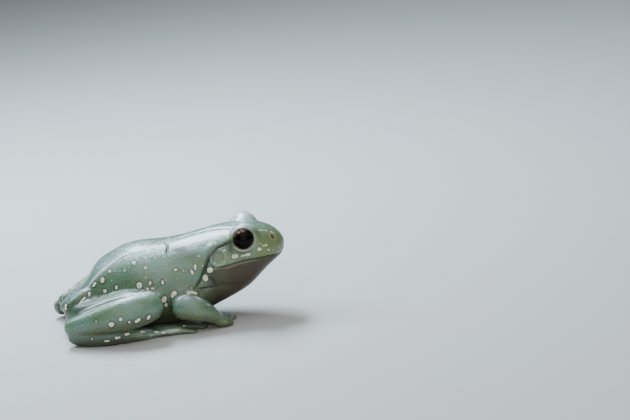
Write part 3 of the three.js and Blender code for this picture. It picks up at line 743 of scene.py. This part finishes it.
def paintSkin(body):
    mesh = body.data
    places, normals = readPlaces(mesh), readNormals(mesh)
    even, evenNormals = laidOver(places, normals)
    left = places[:, 0] > 0
    x, ahead, z = even.T
    up = evenNormals[:, 2]
    rear, reached = drawnBack(even, left, "leg"), drawnBack(even, left, "arm")

    def band(path, width, where=even):  # 1 along a line, fading off to its sides
        return hump(awayFrom(where, path, evenNormals), width)

    # where the parts of the body are
    gape = z - np.interp(ahead, *mouthLine)
    fromEye, depth = fromEyeAxis(even)
    fromEar = np.hypot(ahead - ear["ahead"], z - ear["z"])
    pit = awayFrom(even, [nostril, nostril], evenNormals)
    head = smooth(ahead, 41.5, 47)
    throat = head * smooth(-gape, 0.0, 0.7) * smooth(z, 2, 6)
    limb = smooth(x, 17.8, 19.5) * (1 - smooth(z, 15.5, 17))
    arm = smooth(np.interp(reached[:, 1], [34, 50], [5.4, 3.4]) - awayFrom(reached, foreArm), -0.5, 0.4)
    rearThigh = smooth(x, 9, 10.5) * (1 - smooth(z, 16.5, 19)) * (1 - smooth(ahead, 12, 18))
    crown = np.linalg.norm(even - lidTop, axis=1)

    # painted shade in the creases, along the mouth and in the gap round the eyes, and the pale edges of the
    # lids and ears
    creaseShade = np.zeros(len(places))
    for name, (path, width, _, dark) in strokes.items():
        where = drawnBack(even, left, name)
        creaseShade = np.maximum(creaseShade, dark * band(path, width * 0.8, where) * endFade(where, path))
    mouthDark = 0.92 * smooth(ahead, 46.6, 50.6) * (1 - 0.5 * smooth(ahead, 66, 71))
    creaseShade = np.maximum(creaseShade, mouthDark * hump(gape, 0.21))
    creaseShade = np.maximum(creaseShade, 0.9 * hump(fromEye - lid["across"] + lid["tube"], 0.18) * smooth(depth, 1, 2))
    lidPale = 0.75 * hump(fromEye - lid["across"] - 0.1, 0.32) * smooth(depth, 1, 2) * np.maximum(
        1 - smooth(z, 26.5, 29.5), 0.6 * smooth(ahead, 61, 63) * (1 - smooth(z, 31, 33)))
    earPale = 0.38 * hump(fromEar - ear["across"] + 0.1, 0.32) * (x > 9)

    # painted highlights as wet streaks, and the skin's pale waxy coat with painted sheen along the back and
    # over the lids
    gleam = np.zeros(len(places))
    for where, streaks in ((even, gleams), (rear, limbGleams), (reached, armGleams)):
        for path, width, strength in streaks:
            gleam = np.maximum(gleam, strength * band(path, width, where) * endFade(where, path))
    # painted highlight over the tops of the lids
    gleam = np.maximum(gleam, hump(crown, 4.2) * smooth(z, 31.8, 33.6))
    # painted sheen: more of the pale coat where the skin faces up, as a reflection of the light from above;
    # the flank light below is painted light too
    bloomAndSheenAlong = np.interp(ahead, [-10, 4, 20, 29, 34, 41, 52, 60, 63, 70],
                           [0.28, 0.28, 0.20, 0.06, 0.14, 0.60, 0.62, 0.30, 0.08, 0.03])
    bloomAndSheen = bloomAndSheenAlong * smooth(up, 0.55, 0.92) * (1 - 0.8 * limb) * (1 - 0.9 * rearThigh)
    bloomAndSheen = np.maximum(bloomAndSheen, np.maximum(0.8 * hump(crown, 5) * smooth(z, 32, 34), 0.7 * band(eyebrow, 1.1)))
    bloomAndSheen *= 1 - 0.75 * smooth(x, 8, 10.5) * smooth(ahead, 46, 50) * (1 - smooth(z, 31, 32.5))
    bloomAndSheen = np.maximum(bloomAndSheen, 0.22 * band(flankLight, 3))

    # shadow in hollows and under the limbs, the belly and the snout
    shade = 0.55 * band(strokes["earFold"][0], 1.3) * smooth(z, 17, 25)
    for path, width, dark in shadows:
        shade += dark * band(path, width)
    shade += 0.4 * band(thighShadow, 1.5, rear)
    shade += 0.3 * (1 - smooth(z, 6.5, 11.5)) * (1 - smooth(x, 17.5, 19.5)) * smooth(ahead, 8, 16)
    shade += 0.4 * smooth(ahead, 69.5, 72.5) * (1 - smooth(z, 25, 27.5)) * smooth(gape, -0.4, 0.4)
    shade += 0.65 * (1 - smooth(z, 2.5, 7.0)) * (1 - smooth(ahead, 10, 22))

    # olive: painted shade on the outer sides where they face down and on the chest by the arm, and the ear
    # drum's own olive
    olive = 0.75 * (1 - smooth(up, -0.65, 0.1)) * smooth(x, 13, 17)
    olive += 0.7 * smooth(ahead, 28, 38) * (1 - smooth(z, 12, 20)) * (1 - 0.7 * arm)
    olive += 0.4 * (1 - smooth(fromEar, 1.6, 2.6)) * (x > 9)
    # painted shade: darker towards the bottom of the body and on the limbs' undersides, fading out towards
    # the head
    low = np.maximum(0.85 * (1 - smooth(z, 9, 22)) * (1 - limb), 0.75 * limb * (1 - smooth(up, -0.5, 0.25)))
    paint = dict(
        warm=smooth(ahead, 43, 53) * (1 - 0.6 * smooth(up, 0.5, 0.95)),
        low=low * (1 - smooth(ahead, 30, 44)),
        olive=np.clip(olive, 0, 0.85),
        bloomAndSheen=bloomAndSheen,
        gleam=gleam,
        # stipple: where the fine pale specks go, partly the skin's own and partly painted glints: the upper
        # flanks and the head
        stipple=smooth(z, 17, 23) * (1 - smooth(ahead, 52, 58)) + 0.5 * head * (1 - throat),
        # painted shade under the jaw: the throat's dark browns, less by the chest and on the arm
        throat=throat * (1 - 0.75 * band(chestGreen, 1.7)) * (1 - 0.9 * arm),
        throatGreen=(1 - smooth(ahead, 48, 57)) * smooth(z, 8, 14),
        belly=(1 - smooth(up, -0.9, -0.6)) * (1 - smooth(x, 13, 17)) * (1 - smooth(z, 3, 6)),
        lip=0.7 * hump(gape + 0.6, 0.35) * smooth(ahead, 50, 52) * (1 - smooth(ahead, 58, 66)),
        pale=np.maximum(lidPale, earPale),
        creaseShade=creaseShade,
        tan=0.75 * hump(pit - 1.05, 0.35),
        rosy=0.9 * hump(awayFrom(places, farThigh, normals), 1.7) * smooth(up, -0.3, 0.3),
        shade=np.clip(shade, 0, 0.85),
        # painted shade: the nostril's hole is painted nearly black
        pit=hump(pit, 0.78))
    paint["spot"], paint["spotRim"] = spotField(places, normals)
    for name in skinMarks:
        layer = mesh.attributes.new(name, "FLOAT", "POINT")
        layer.data.foreach_set("value", np.asarray(paint[name], np.float32))


def finishSkin(body, flesh):
    select(body)
    bpy.ops.object.shade_smooth()
    body.data.materials.clear()
    body.data.materials.append(skinFinish())
    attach(body, "root")
    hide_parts(*flesh)


# eyes
eyeLook = dict(cornea=0.2, corneaReach=3.6, pupilWide=2.75, pupilHigh=2.35, iris=(0.010, 0.006, 0.005),
               gold=(0.34, 0.22, 0.14), pupil=(0.002, 0.0016, 0.002), fleckScale=2300,
               specular=0.06, coat=0.07, coatRough=0.03)


def eyeFinish():
    material, shader = newMaterial("wetEye")
    where = addNode(material, "ShaderNodeTexCoord").outputs["Object"]
    split = addNode(material, "ShaderNodeSeparateXYZ", [("Vector", where)])
    back = math2(material, "SUBTRACT", split.outputs["Y"], hips - eye["ahead"] * mm)
    up = math2(material, "SUBTRACT", split.outputs["Z"], eye["z"] * mm)
    wide = math2(material, "DIVIDE", back, eyeLook["pupilWide"] * mm)
    high = math2(material, "DIVIDE", up, eyeLook["pupilHigh"] * mm)
    square = [math2(material, "MULTIPLY", length, length) for length in (wide, high)]
    radius = math2(material, "SQRT", math2(material, "ADD", *square))
    fleck = noise(material, where, eyeLook["fleckScale"], 4, 0.7)
    slant = math2(material, "ADD", math2(material, "MULTIPLY", wide, 0.55), high)
    arc = math2(material, "MULTIPLY", ramp(material, slant, 1.1, 1.45), ramp(material, fleck, 0.43, 0.58))
    ringed = math2(material, "MULTIPLY", arc, ramp(material, radius, 1.22, 1.36))
    colour = blendColours(material, ramp(material, radius, 0.95, 1.1), eyeLook["pupil"], eyeLook["iris"])
    colour = blendColours(material, ringed, colour, eyeLook["gold"])
    material.node_tree.links.new(colour, shader.inputs["Base Color"])
    material.node_tree.links.new(ramp(material, fleck, 0.3, 0.7, 0.12, 0.2), shader.inputs["Roughness"])
    shader.inputs["Specular IOR Level"].default_value = eyeLook["specular"]
    shader.inputs["Coat Weight"].default_value = eyeLook["coat"]
    shader.inputs["Coat Roughness"].default_value = eyeLook["coatRough"]
    return material


def makeEye(side, finish):
    node = "eye_r" if side < 0 else "eye_l"
    bpy.ops.mesh.primitive_uv_sphere_add(
        segments=eye["rounds"], ring_count=eye["rounds"] // 2, radius=eye["ball"] * mm,
        location=eyeCentre(side), rotation=(0, math.radians(90), 0))
    ball = bpy.context.object
    ball.name = "globe_" + node[-1]
    settle(ball)
    places = readPlaces(ball.data)
    outward = places - (side * eye["x"], eye["ahead"], eye["z"])
    reach = np.hypot(outward[:, 1], outward[:, 2])
    bulge = eyeLook["cornea"] * (1 - smooth(reach, 0, eyeLook["corneaReach"])) * (outward[:, 0] * side > 0)
    places[:, 0] += side * bulge
    writePlaces(ball.data, places)
    bpy.ops.object.shade_smooth()
    ball.data.materials.append(finish)
    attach(ball, "root")
    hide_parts(node)


# the whole frog
makeCamera()
makeStudio()
body, flesh = growSkin()
evenSeams(body)
refineHead(body)
shapeSkin(body)
paintSkin(body)
finishSkin(body, flesh)
wetEye = eyeFinish()
for side in (-1, 1):
    makeEye(side, wetEye)
print("frog finished")
